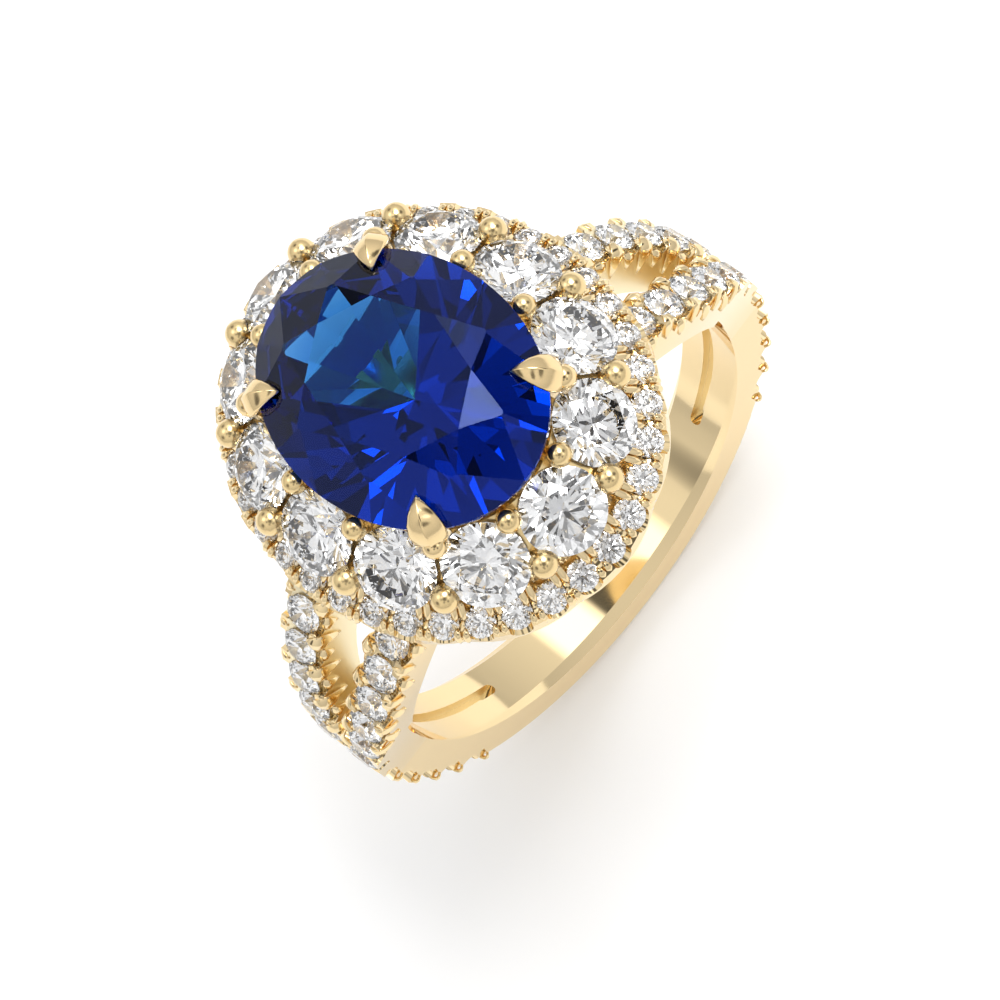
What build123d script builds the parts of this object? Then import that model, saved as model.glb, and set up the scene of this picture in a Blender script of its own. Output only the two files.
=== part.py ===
from build123d import *

import os
from bisect import bisect_right
from math import cos, hypot, pi, radians, sin, tan

# Engagement ring: an oval sapphire in four claws, ringed by twelve round diamonds and a
# lower scalloped rail of small ones, on a split-shoulder pave band.
# Millimetres.  Origin at the centre of the finger hole, +Z up through the head,
# Y along the finger, X across it.

# Band -----------------------------------------------------------------------------------
BORE_RADIUS = 8.45
BAND_RADIUS = 10.25
BAND_WIDTH = 2.5
BAND_EDGE_FILLET = 0.3
BEVEL_SHIFT = 0.45
BEVEL_RADIUS = BORE_RADIUS - 0.10
BEVEL_REACH = 0.5
PAVE_FIRST_ANGLE = 8.9
PAVE_PITCH = 8.55
PAVE_PER_ARM = 7
SPLIT_ANGLE = PAVE_FIRST_ANGLE + PAVE_PITCH / 2
ARM_END_ANGLE = PAVE_FIRST_ANGLE + (PAVE_PER_ARM - 0.5) * PAVE_PITCH
FORK_START_ANGLE = -14.0
GROOVE_END_ANGLE = -45.0
GROOVE_WIDTH = 0.45
GROOVE_DEPTH = 0.35

# Shoulder arms: how far each centreline stands from the middle of the finger hole --------
ARM_SPREAD = 1.72
ARM_SPREAD_START = -9.0
ARM_SPREAD_FULL = 50.0
ARM_HALF_WIDTH = 0.77
FORK_SWELL = 0.08
THROAT_OPEN_ANGLE = 18.0
ARM_SHAPE_ANGLES = (25.0, 38.0)
THROAT_OVERLAP_ANGLE = 0.6

# Bridge over the finger between the arms ---------------------------------------------------
BRIDGE_WINDOW_HALF_X = 3.1
BRIDGE_WINDOW_HALF_Y = 1.5
BRIDGE_GAP_START = 4.05

# Pave -----------------------------------------------------------------------------------
PAVE_RADIUS = 0.70
PAVE_DEPTH = 0.14
PAVE_SCALLOP = 0.50
PAVE_CUT_WIDTH = 2.2 * ARM_HALF_WIDTH
PAVE_TROUGH_RADIUS = 0.60
PAVE_TROUGH_RISE = 0.34
PAVE_TROUGH_LENGTH = 1.60
ARM_STONE_ANGLES = [PAVE_FIRST_ANGLE + PAVE_PITCH * step for step in range(PAVE_PER_ARM)]
BAND_STONE_ANGLES = [-0.6 - 8.3 * step for step in range(5)]

# Centre stone ---------------------------------------------------------------------------
SAPPHIRE_HALF_WIDTH = 4.0
SAPPHIRE_HALF_LENGTH = 5.0
SAPPHIRE_GIRDLE_Z = 15.0

# Claws: distance out from the middle, height and radius of each section -------------------
CLAW_STATIONS = (
    (3.75, 12.6, 0.34),
    (4.42, 13.7, 0.42),
    (4.78, 14.5, 0.50),
    (4.62, 15.15, 0.46),
    (4.12, 15.52, 0.30),
    (3.62, 15.66, 0.06),
)
CLAW_DIRECTION = (2.28, 2.80)
CLAW_GAPS = (1, 4, 7, 10)

# Seat rail under the centre stone -----------------------------------------------------------
SEAT_RAIL_HALF_X = 3.8
SEAT_RAIL_HALF_Y = 4.8
SEAT_RAIL_INNER_X = 2.9
SEAT_RAIL_INNER_Y = 3.7
SEAT_RAIL_LOW = 13.85
SEAT_RAIL_HIGH = 14.55

# Halo of twelve -------------------------------------------------------------------------
HALO_COUNT = 12
HALO_STONE_RADIUS = 1.36
HALO_HALF_X = 4.97
HALO_HALF_Y = 5.90
HALO_Z = 13.5
HALO_TILT = 37.0
OUTER_BEAD_RADIUS = 0.46
OUTER_BEAD_HALF_X = 5.71
OUTER_BEAD_HALF_Y = 6.56
OUTER_BEAD_Z = 13.2
INNER_BEAD_RADIUS = 0.40
INNER_BEAD_HALF_X = 4.26
INNER_BEAD_HALF_Y = 5.26
INNER_BEAD_Z = 14.3
BEAD_POST_LENGTH = 1.0
BEAD_POST_RADIUS = 0.3
PLATE_DROP = 0.15
PLATE_THICKNESS = 0.7
PLATE_LOW = 11.2
PLATE_HIGH = 14.6
SKIRT_THICKNESS = 0.5
SKIRT_HIGH = 12.5

# Outer rail of small stones, three to each halo stone --------------------------------------
RAIL_COUNT = 3 * HALO_COUNT
RAIL_START = 0.25
RAIL_HALF_X = 6.12
RAIL_HALF_Y = 7.08
RAIL_STONE_RADIUS = 0.50
RAIL_STONE_Z = 11.75
RAIL_TILT = 25.0
RAIL_HALF_WIDTH = 0.54
RAIL_RISE = 0.14
RAIL_BOTTOM_Z = 11.15
RAIL_SCALLOP = 0.36
RAIL_TROUGH_RADIUS = 0.40
RAIL_TROUGH_RISE = 0.16
RAIL_TROUGH_LENGTH = 3 * RAIL_STONE_RADIUS
RAIL_CUSP_DEPTH = 0.14
RAIL_INNER_X = RAIL_HALF_X - RAIL_HALF_WIDTH
RAIL_INNER_Y = RAIL_HALF_Y - RAIL_HALF_WIDTH

# Gallery of ribs between the bridge and the halo plate ---------------------------------------
GALLERY_LOW_Z = 9.3
GALLERY_HIGH_Z = 13.2
GALLERY_LOW_X = 3.4
GALLERY_LOW_Y = 3.3
GALLERY_HIGH_X = 5.3
GALLERY_HIGH_Y = 6.6
GALLERY_WALL = 0.6
GALLERY_WINDOW_WIDTH = 1.8
GALLERY_WINDOW_HEIGHT = 1.6
GALLERY_WINDOW_CORNER = 0.6
GALLERY_WINDOW_Z = 11.3

# Seats and clearances -------------------------------------------------------------------
CLEARANCE = 0.015
SMALL = 0.05
HALO_SEAT_OPENING = 0.6
PAVE_SEAT_OPENING = 0.9

# Brilliant cut, for a stone of radius 1 --------------------------------------------------
GIRDLE_HALF_HEIGHT = 0.025
TABLE_RADIUS = 0.57
CROWN_MAIN_SLOPE = 34.5
CROWN_STAR_SLOPE = 22.0
CROWN_HALF_SLOPE = 40.5
PAVILION_MAIN_SLOPE = 40.8
PAVILION_HALF_SLOPE = 41.9
FACET_STEP = 45.0
SINGLE_CUT_REACH = 0.99
SINGLE_CUT_SIDES = 16
HALO_STONE_SIDES = 32
SAPPHIRE_SIDES = 64
ELLIPSE_STEPS = 1440
CROWN_HEIGHT = GIRDLE_HALF_HEIGHT + (1 - TABLE_RADIUS) * tan(radians(CROWN_MAIN_SLOPE))
PAVILION_DEPTH = GIRDLE_HALF_HEIGHT + tan(radians(PAVILION_MAIN_SLOPE))


def facet(azimuth, slope, reach, height):
    """The plane of one facet, which leans out towards the azimuth."""
    side = Vector(cos(radians(azimuth)), sin(radians(azimuth)), 0)
    normal = side * sin(radians(slope)) + Vector(0, 0, cos(radians(slope)))
    return Plane(origin=side * reach + Vector(0, 0, height), z_dir=normal)


def round_brilliant(girdle_sides):
    """A 57-facet round brilliant of radius 1 with its girdle at the origin."""
    half_step = FACET_STEP / 2
    near_reach = cos(radians(half_step / 2))
    star_reach = TABLE_RADIUS * cos(radians(half_step))
    rim = GIRDLE_HALF_HEIGHT
    planes = []
    for index in range(8):
        azimuth = index * FACET_STEP
        planes.append(facet(azimuth, CROWN_MAIN_SLOPE, 1, rim))
        planes.append(facet(azimuth, 180 - PAVILION_MAIN_SLOPE, 1, -rim))
        planes.append(facet(azimuth + half_step, CROWN_STAR_SLOPE, star_reach, CROWN_HEIGHT))
        for side in (-1, 1):
            beside = azimuth + side * half_step / 2
            planes.append(facet(beside, CROWN_HALF_SLOPE, near_reach, rim))
            planes.append(facet(beside, 180 - PAVILION_HALF_SLOPE, near_reach, -rim))
    with BuildPart() as gem:
        with BuildSketch(Plane.XY.offset(-PAVILION_DEPTH)):
            RegularPolygon(radius=1, side_count=girdle_sides)
        extrude(amount=PAVILION_DEPTH + CROWN_HEIGHT)
        for plane in planes:
            split(bisect_by=plane, keep=Keep.BOTTOM)
    return gem.part


def single_cut():
    """The 17-facet cut of the smallest stones, radius 1, girdle at the origin."""
    with BuildPart() as gem:
        with BuildSketch(Plane.XY.offset(-PAVILION_DEPTH)):
            RegularPolygon(radius=1, side_count=SINGLE_CUT_SIDES)
        extrude(amount=PAVILION_DEPTH + CROWN_HEIGHT)
        for index in range(8):
            azimuth = index * FACET_STEP
            crown = facet(azimuth, CROWN_MAIN_SLOPE, SINGLE_CUT_REACH, GIRDLE_HALF_HEIGHT)
            under = 180 - PAVILION_MAIN_SLOPE
            pavilion = facet(azimuth, under, SINGLE_CUT_REACH, -GIRDLE_HALF_HEIGHT)
            split(bisect_by=crown, keep=Keep.BOTTOM)
            split(bisect_by=pavilion, keep=Keep.BOTTOM)
    return gem.part


def seat_cutter(radius, shaft, opening, clearance):
    """A setting bur: the stone's own outline with a little clearance, and a shaft above it.

    The opening is the share of the stone's radius that stays free of metal above its rim.
    """
    wide = radius + clearance
    neck = wide * opening
    rim = GIRDLE_HALF_HEIGHT * radius + clearance
    depth = rim + wide * tan(radians(PAVILION_HALF_SLOPE))
    crown = rim + (wide - neck) * tan(radians(CROWN_HALF_SLOPE))
    with BuildPart() as cutter:
        with BuildSketch(Plane.XZ):
            with BuildLine():
                Polyline(
                    (0, -depth),
                    (wide, -rim),
                    (wide, rim),
                    (neck, crown),
                    (neck, shaft),
                    (0, shaft),
                    close=True,
                )
            make_face()
        revolve(axis=Axis.Z)
    return cutter.part


def ellipse_points(half_x, half_y, count, start):
    """Points an equal distance apart round an ellipse, counted from a fraction of a turn."""
    around = [2 * pi * i / ELLIPSE_STEPS for i in range(ELLIPSE_STEPS + 1)]
    lengths = [0.0]
    for a, b in zip(around, around[1:]):
        step = hypot(half_x * (cos(b) - cos(a)), half_y * (sin(b) - sin(a)))
        lengths.append(lengths[-1] + step)
    points = []
    for item in range(count):
        goal = lengths[-1] * ((start + item / count) % 1)
        index = bisect_right(lengths, goal) - 1
        share = (goal - lengths[index]) / (lengths[index + 1] - lengths[index])
        angle = around[index] + share * (around[index + 1] - around[index])
        points.append((half_x * cos(angle), half_y * sin(angle)))
    return points


def outward(point, half_x, half_y):
    """The level direction that leaves an ellipse squarely at one of its points."""
    return Vector(point[0] / half_x**2, point[1] / half_y**2, 0).normalized()


def leaning_plane(point, height, half_x, half_y, tilt):
    """A plane on an ellipse whose face leans outwards by the tilt."""
    out = outward(point, half_x, half_y)
    normal = out * sin(radians(tilt)) + Vector(0, 0, cos(radians(tilt)))
    along = Vector(-out.Y, out.X, 0)
    return Plane(origin=(point[0], point[1], height), x_dir=along, z_dir=normal)


def arm_offset(angle):
    """Distance of a shoulder arm's centreline from the middle plane of the finger hole."""
    share = (angle - ARM_SPREAD_START) / (ARM_SPREAD_FULL - ARM_SPREAD_START)
    return ARM_SPREAD * sin(radians(90 * min(share, 1)))


def band_plane(angle, offset, lead):
    """A plane on the band's outer face, X along the row and Z out of the finger hole."""
    turn = radians(angle)
    out = Vector(cos(turn), 0, sin(turn))
    along = Vector(-sin(turn), lead, cos(turn))
    spot = out * BAND_RADIUS + Vector(0, offset, 0)
    return Plane(origin=spot, x_dir=along, z_dir=out)


def arm_plane(angle, side):
    """The seat plane of one pave stone of a shoulder arm, on the -Y or +Y side."""
    rise = arm_offset(angle + 1) - arm_offset(angle - 1)
    lead = rise / (2 * BAND_RADIUS * radians(1))
    return band_plane(angle, side * arm_offset(angle), side * lead)


# Where everything sits ------------------------------------------------------------------
halo_points = ellipse_points(HALO_HALF_X, HALO_HALF_Y, HALO_COUNT, 0)
halo_planes = [
    leaning_plane(point, HALO_Z, HALO_HALF_X, HALO_HALF_Y, HALO_TILT) for point in halo_points
]
half_gap = 0.5 / HALO_COUNT
outer_bead_points = ellipse_points(OUTER_BEAD_HALF_X, OUTER_BEAD_HALF_Y, HALO_COUNT, half_gap)
inner_bead_points = ellipse_points(INNER_BEAD_HALF_X, INNER_BEAD_HALF_Y, HALO_COUNT, half_gap)
rail_points = ellipse_points(RAIL_HALF_X, RAIL_HALF_Y, RAIL_COUNT, RAIL_START)
near_arm_planes = [arm_plane(angle, -1) for angle in ARM_STONE_ANGLES]
band_row_planes = [band_plane(angle, 0, 0) for angle in BAND_STONE_ANGLES]


def side_height(angle):
    """Height of a point of the band's outer face at that angle."""
    return BAND_RADIUS * sin(radians(angle))


def radial_plane(angle):
    """A plane through the finger axis whose normal points the way the angle grows."""
    turn = radians(angle)
    return Plane(origin=(0, 0, 0), x_dir=(cos(turn), 0, sin(turn)), z_dir=(-sin(turn), 0, cos(turn)))


def oval_cone(half_x, half_y, height, tilt, drop, low, high):
    """An oval cone whose slope lies a set drop below stones leaning outwards on an ellipse."""
    lean = radians(tilt)
    with BuildPart() as cone:
        for level in (low, high):
            grow = (height - level) / tan(lean) - drop / sin(lean)
            with BuildSketch(Plane.XY.offset(level)):
                Ellipse(half_x + grow, half_y + grow)
        loft()
    return cone.part


def cone_under_halo(drop, low, high):
    """The oval cone that lies a set drop below the girdles of the halo stones."""
    return oval_cone(HALO_HALF_X, HALO_HALF_Y, HALO_Z, HALO_TILT, drop, low, high)


def cut_pave_row(planes, width):
    """Scallop the walls at each stone, hollow the row between the prongs and bur the seat."""
    with Locations(*planes):
        Cylinder(PAVE_SCALLOP, width, rotation=(90, 0, 0), mode=Mode.SUBTRACT)
    with Locations(*[plane.offset(PAVE_TROUGH_RISE) for plane in planes]):
        Cylinder(
            PAVE_TROUGH_RADIUS, PAVE_TROUGH_LENGTH, rotation=(0, 90, 0), mode=Mode.SUBTRACT
        )
    with Locations(*[plane.offset(-PAVE_DEPTH) for plane in planes]):
        add(pave_bur, mode=Mode.SUBTRACT)


# Stones and burs ------------------------------------------------------------------------
halo_diamond = round_brilliant(HALO_STONE_SIDES).scale(HALO_STONE_RADIUS)
pave_diamond = single_cut().scale(PAVE_RADIUS)
rail_diamond = single_cut().scale(RAIL_STONE_RADIUS)
halo_bur = seat_cutter(HALO_STONE_RADIUS, HALO_STONE_RADIUS, HALO_SEAT_OPENING, CLEARANCE)
pave_bur = seat_cutter(PAVE_RADIUS, PAVE_RADIUS, PAVE_SEAT_OPENING, CLEARANCE)
rail_bur = seat_cutter(RAIL_STONE_RADIUS, RAIL_STONE_RADIUS, PAVE_SEAT_OPENING, CLEARANCE)
oval = (SAPPHIRE_HALF_WIDTH, SAPPHIRE_HALF_LENGTH, SAPPHIRE_HALF_WIDTH)

with BuildPart() as oval_sapphire:
    with Locations((0, 0, SAPPHIRE_GIRDLE_Z)):
        add(scale(round_brilliant(SAPPHIRE_SIDES), by=oval, mode=Mode.PRIVATE))

unit_seat = seat_cutter(1, 1, HALO_SEAT_OPENING, CLEARANCE / SAPPHIRE_HALF_WIDTH)
with BuildPart() as sapphire_bur:
    with Locations((0, 0, SAPPHIRE_GIRDLE_Z)):
        add(scale(unit_seat, by=oval, mode=Mode.PRIVATE))

# The fork of one side: both shoulder arms and the web they grow from, cut from the ring ---
outer_edge = [
    (BAND_WIDTH / 2, side_height(FORK_START_ANGLE)),
    (BAND_WIDTH / 2 + FORK_SWELL, side_height(0)),
]
for angle in (SPLIT_ANGLE, *ARM_SHAPE_ANGLES, ARM_SPREAD_FULL):
    outer_edge.append((arm_offset(angle) + ARM_HALF_WIDTH, side_height(angle)))
outer_edge.append((ARM_SPREAD + ARM_HALF_WIDTH, BAND_RADIUS))
inner_edge = [(0, side_height(SPLIT_ANGLE - THROAT_OVERLAP_ANGLE))]
for angle in (THROAT_OPEN_ANGLE, *ARM_SHAPE_ANGLES, ARM_SPREAD_FULL):
    inner_edge.append((arm_offset(angle) - ARM_HALF_WIDTH, side_height(angle)))
inner_edge.append((ARM_SPREAD - ARM_HALF_WIDTH, BAND_RADIUS))
far_inner = [(-y, z) for y, z in reversed(inner_edge)]
split_level = Plane.XY.offset(side_height(SPLIT_ANGLE))

with BuildPart() as fork:
    with BuildSketch(Plane.XZ):
        Circle(BAND_RADIUS)
        Circle(BORE_RADIUS, mode=Mode.SUBTRACT)
    extrude(amount=2 * BAND_WIDTH, both=True)
    with BuildSketch(Plane.YZ):
        with BuildLine():
            near = Spline(*outer_edge)
            far = Spline(*[(-y, z) for y, z in outer_edge])
            Line(near @ 0, far @ 0)
            Line(near @ 1, far @ 1)
        make_face()
        with BuildLine():
            throat = Spline(*(far_inner + inner_edge[1:]))
            Line(throat @ 0, throat @ 1)
        make_face(mode=Mode.SUBTRACT)
    extrude(amount=2 * BAND_RADIUS, mode=Mode.INTERSECT)

# Band: one half is cut with its row of seats, then mirrored --------------------------------
with BuildPart() as groove:
    with BuildSketch(Plane.XZ):
        Circle(BORE_RADIUS + GROOVE_DEPTH)
        Circle(BORE_RADIUS - SMALL, mode=Mode.SUBTRACT)
    extrude(amount=GROOVE_WIDTH / 2, both=True)
    split(bisect_by=radial_plane(GROOVE_END_ANGLE), keep=Keep.TOP)
    split(bisect_by=Plane.YZ, keep=Keep.TOP)
    end = radians(GROOVE_END_ANGLE)
    end_out = Vector(cos(end), 0, sin(end))
    with Locations(Plane(origin=end_out * BORE_RADIUS, z_dir=end_out)):
        Cylinder(GROOVE_WIDTH / 2, 2 * GROOVE_DEPTH)

with BuildPart() as half_band:
    with BuildSketch(Plane.XZ):
        Circle(BAND_RADIUS)
        Circle(BORE_RADIUS, mode=Mode.SUBTRACT)
    extrude(amount=BAND_WIDTH / 2, both=True)
    rims = half_band.edges().filter_by(GeomType.CIRCLE)
    fillet(rims.filter_by(lambda rim: rim.radius > BAND_RADIUS - SMALL), BAND_EDGE_FILLET)
    split(bisect_by=Plane.YZ, keep=Keep.TOP)
    add(fork.part)
    split(bisect_by=split_level, keep=Keep.BOTTOM)
    cut_pave_row(band_row_planes, 2 * BAND_WIDTH)
    for side in (-1, 1):
        cut_pave_row([arm_plane(ARM_STONE_ANGLES[0], side)], 2 * ARM_HALF_WIDTH)
    add(groove.part, mode=Mode.SUBTRACT)

with BuildPart() as band:
    add(half_band.part)
    mirror(half_band.part, about=Plane.YZ)
    for side in (-1, 1):
        with Locations((0, side * BAND_WIDTH / 2, -BEVEL_SHIFT)):
            Cone(
                BEVEL_RADIUS - BEVEL_REACH,
                BEVEL_RADIUS + BEVEL_REACH,
                2 * BEVEL_REACH,
                rotation=(-90 * side, 0, 0),
                mode=Mode.SUBTRACT,
            )

# Shoulder arms ----------------------------------------------------------------------------
with BuildPart() as arm_blanks:
    add(fork.part)
    split(bisect_by=split_level, keep=Keep.TOP)
    split(bisect_by=radial_plane(ARM_END_ANGLE), keep=Keep.BOTTOM)

with BuildPart() as shoulder_right_near:
    add(arm_blanks.part.solids().sort_by(Axis.Y)[0])
    cut_pave_row(near_arm_planes[1:], PAVE_CUT_WIDTH)

with BuildPart() as shoulder_right_far:
    mirror(shoulder_right_near.part, about=Plane.XZ)

with BuildPart() as shoulder_left_near:
    mirror(shoulder_right_near.part, about=Plane.YZ)

with BuildPart() as shoulder_left_far:
    mirror(shoulder_right_far.part, about=Plane.YZ)

# Bridge: closes the finger hole between the arms and carries the head ----------------------
with BuildPart() as bridge:
    with BuildSketch(Plane.XZ):
        Circle(BAND_RADIUS)
        Circle(BORE_RADIUS, mode=Mode.SUBTRACT)
    extrude(amount=ARM_SPREAD + ARM_HALF_WIDTH, both=True)
    for side in (-1, 1):
        level = radial_plane(ARM_END_ANGLE if side > 0 else 180 - ARM_END_ANGLE)
        split(bisect_by=level, keep=Keep.TOP if side > 0 else Keep.BOTTOM)
    with BuildSketch():
        Ellipse(BRIDGE_WINDOW_HALF_X, BRIDGE_WINDOW_HALF_Y)
        for side in (-1, 1):
            with Locations((side * 2 * BRIDGE_GAP_START, 0)):
                SlotOverall(2 * BRIDGE_GAP_START, 2 * (ARM_SPREAD - ARM_HALF_WIDTH))
    extrude(amount=2 * BAND_RADIUS, mode=Mode.SUBTRACT)

# Claws: four tapering wires that rise beside the sapphire and fold over its edge -----------
claw_out = Vector(*CLAW_DIRECTION, 0).normalized()

with BuildPart() as claw_blank:
    spots = [claw_out * reach + Vector(0, 0, height) for reach, height, _ in CLAW_STATIONS]
    for index, (_, _, radius) in enumerate(CLAW_STATIONS):
        before = spots[max(index - 1, 0)]
        after = spots[min(index + 1, len(spots) - 1)]
        with BuildSketch(Plane(origin=spots[index], z_dir=after - before)):
            Circle(radius)
    loft()
    with Locations(*halo_planes):
        add(halo_bur, mode=Mode.SUBTRACT)
    add(sapphire_bur.part, mode=Mode.SUBTRACT)

with BuildPart() as claw_1:
    add(claw_blank.part)

with BuildPart() as claw_2:
    mirror(claw_blank.part, about=Plane.XZ)

with BuildPart() as claw_3:
    mirror(claw_2.part, about=Plane.YZ)

with BuildPart() as claw_4:
    mirror(claw_blank.part, about=Plane.YZ)

claws = [claw_1, claw_2, claw_3, claw_4]

# Seat rail: the oval bearing under the sapphire --------------------------------------------
with BuildPart() as seat_rail:
    with BuildSketch(Plane.XY.offset(SEAT_RAIL_LOW)):
        Ellipse(SEAT_RAIL_HALF_X, SEAT_RAIL_HALF_Y)
        Ellipse(SEAT_RAIL_INNER_X, SEAT_RAIL_INNER_Y, mode=Mode.SUBTRACT)
    extrude(amount=SEAT_RAIL_HIGH - SEAT_RAIL_LOW)
    add(sapphire_bur.part, mode=Mode.SUBTRACT)
    with Locations(*halo_planes):
        add(halo_bur, mode=Mode.SUBTRACT)
    for claw in claws:
        add(claw.part, mode=Mode.SUBTRACT)

# Halo plate: a domed oval plate with twelve seats and the beads that hold the stones --------
with BuildPart() as halo_plate:
    add(cone_under_halo(PLATE_DROP, PLATE_LOW, PLATE_HIGH))
    add(
        cone_under_halo(PLATE_DROP + PLATE_THICKNESS, PLATE_LOW - SMALL, PLATE_HIGH + SMALL),
        mode=Mode.SUBTRACT,
    )
    with BuildSketch(Plane.XY.offset(PLATE_LOW)):
        Ellipse(RAIL_INNER_X, RAIL_INNER_Y)
        Ellipse(SEAT_RAIL_HALF_X, SEAT_RAIL_HALF_Y, mode=Mode.SUBTRACT)
    extrude(amount=PLATE_HIGH - PLATE_LOW, mode=Mode.INTERSECT)
    with BuildSketch(Plane.XY.offset(PLATE_LOW)):
        Ellipse(RAIL_INNER_X, RAIL_INNER_Y)
        Ellipse(RAIL_INNER_X - SKIRT_THICKNESS, RAIL_INNER_Y - SKIRT_THICKNESS, mode=Mode.SUBTRACT)
    extrude(amount=SKIRT_HIGH - PLATE_LOW)
    for point in outer_bead_points:
        spot = leaning_plane(point, OUTER_BEAD_Z, OUTER_BEAD_HALF_X, OUTER_BEAD_HALF_Y, HALO_TILT)
        with Locations(spot):
            Sphere(OUTER_BEAD_RADIUS)
        with Locations(spot.offset(-BEAD_POST_LENGTH / 2)):
            Cylinder(BEAD_POST_RADIUS, BEAD_POST_LENGTH)
    for gap, point in enumerate(inner_bead_points):
        if gap in CLAW_GAPS:
            continue
        spot = leaning_plane(point, INNER_BEAD_Z, INNER_BEAD_HALF_X, INNER_BEAD_HALF_Y, HALO_TILT)
        with Locations(spot):
            Sphere(INNER_BEAD_RADIUS)
        with Locations(spot.offset(-BEAD_POST_LENGTH / 2)):
            Cylinder(BEAD_POST_RADIUS, BEAD_POST_LENGTH)
    with Locations(*halo_planes):
        add(halo_bur, mode=Mode.SUBTRACT)
    for claw in claws:
        add(claw.part, mode=Mode.SUBTRACT)
    add(sapphire_bur.part, mode=Mode.SUBTRACT)
    add(seat_rail.part, mode=Mode.SUBTRACT)

# Outer rail: twelve lobes of small seats round the plate ------------------------------------
def rail_edge(step, reach):
    """A point beside the rail's centreline, a number of stone steps from the long axis."""
    turn = RAIL_START + step / RAIL_COUNT
    x, y = ellipse_points(RAIL_HALF_X, RAIL_HALF_Y, 1, turn)[0]
    out = outward((x, y), RAIL_HALF_X, RAIL_HALF_Y)
    return (x + out.X * reach, y + out.Y * reach)


lobe_steps = RAIL_COUNT / HALO_COUNT
rail_seats = [
    leaning_plane(point, RAIL_STONE_Z, RAIL_HALF_X, RAIL_HALF_Y, RAIL_TILT) for point in rail_points
]

with BuildPart() as outer_rail:
    with BuildSketch(Plane.XY.offset(RAIL_BOTTOM_Z)):
        with BuildLine():
            for lobe in range(HALO_COUNT):
                middle = lobe * lobe_steps
                ThreePointArc(
                    rail_edge(middle - lobe_steps / 2, RAIL_HALF_WIDTH - RAIL_CUSP_DEPTH),
                    rail_edge(middle, RAIL_HALF_WIDTH),
                    rail_edge(middle + lobe_steps / 2, RAIL_HALF_WIDTH - RAIL_CUSP_DEPTH),
                )
        make_face()
        Ellipse(RAIL_INNER_X, RAIL_INNER_Y, mode=Mode.SUBTRACT)
    extrude(amount=PLATE_HIGH - RAIL_BOTTOM_Z)
    add(
        oval_cone(
            RAIL_HALF_X,
            RAIL_HALF_Y,
            RAIL_STONE_Z,
            RAIL_TILT,
            -RAIL_RISE,
            RAIL_BOTTOM_Z - SMALL,
            RAIL_STONE_Z + 2 * RAIL_HALF_WIDTH,
        ),
        mode=Mode.INTERSECT,
    )
    with Locations(*[plane.offset(RAIL_RISE) for plane in rail_seats]):
        Cylinder(RAIL_SCALLOP, 4 * RAIL_HALF_WIDTH, rotation=(90, 0, 0), mode=Mode.SUBTRACT)
    with Locations(*[plane.offset(RAIL_RISE + RAIL_TROUGH_RISE) for plane in rail_seats]):
        Cylinder(
            RAIL_TROUGH_RADIUS, RAIL_TROUGH_LENGTH, rotation=(0, 90, 0), mode=Mode.SUBTRACT
        )
    with Locations(*rail_seats):
        add(rail_bur, mode=Mode.SUBTRACT)
    add(halo_plate.part, mode=Mode.SUBTRACT)

# Gallery: the flaring cup of ribs between the bridge and the plate ---------------------------
with BuildPart() as gallery:
    for shrink, mode in ((0, Mode.ADD), (GALLERY_WALL, Mode.SUBTRACT)):
        with BuildSketch(Plane.XY.offset(GALLERY_LOW_Z)):
            Ellipse(GALLERY_LOW_X - shrink, GALLERY_LOW_Y - shrink)
        with BuildSketch(Plane.XY.offset(GALLERY_HIGH_Z)):
            Ellipse(GALLERY_HIGH_X - shrink, GALLERY_HIGH_Y - shrink)
        loft(mode=mode)
    with BuildSketch(Plane.XZ):
        Circle(BAND_RADIUS)
    extrude(amount=2 * BAND_WIDTH, both=True, mode=Mode.SUBTRACT)
    for point in halo_points:
        out = outward(point, HALO_HALF_X, HALO_HALF_Y)
        with BuildSketch(Plane(origin=(0, 0, GALLERY_WINDOW_Z), x_dir=(0, 0, 1), z_dir=out)):
            RectangleRounded(GALLERY_WINDOW_HEIGHT, GALLERY_WINDOW_WIDTH, GALLERY_WINDOW_CORNER)
        extrude(amount=2 * GALLERY_HIGH_Y, mode=Mode.SUBTRACT)
    add(
        cone_under_halo(PLATE_DROP + PLATE_THICKNESS, GALLERY_LOW_Z - SMALL, PLATE_HIGH),
        mode=Mode.INTERSECT,
    )
    with Locations(*halo_planes):
        add(halo_bur, mode=Mode.SUBTRACT)

# Diamonds: the halo stones are separate pieces, the small ones share a node by row ------------
halo_diamonds = []
for plane in halo_planes:
    with BuildPart() as diamond:
        with Locations(plane):
            add(halo_diamond)
    halo_diamonds.append(diamond)

with BuildPart() as rail_diamonds:
    with Locations(*rail_seats):
        add(rail_diamond)

with BuildPart() as right_near_diamonds:
    with Locations(*[plane.offset(-PAVE_DEPTH) for plane in near_arm_planes]):
        add(pave_diamond)

with BuildPart() as right_far_diamonds:
    mirror(right_near_diamonds.part, about=Plane.XZ)

with BuildPart() as left_near_diamonds:
    mirror(right_near_diamonds.part, about=Plane.YZ)

with BuildPart() as left_far_diamonds:
    mirror(right_far_diamonds.part, about=Plane.YZ)

with BuildPart() as right_band_diamonds:
    with Locations(*[plane.offset(-PAVE_DEPTH) for plane in band_row_planes]):
        add(pave_diamond)

with BuildPart() as left_band_diamonds:
    mirror(right_band_diamonds.part, about=Plane.YZ)

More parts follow.
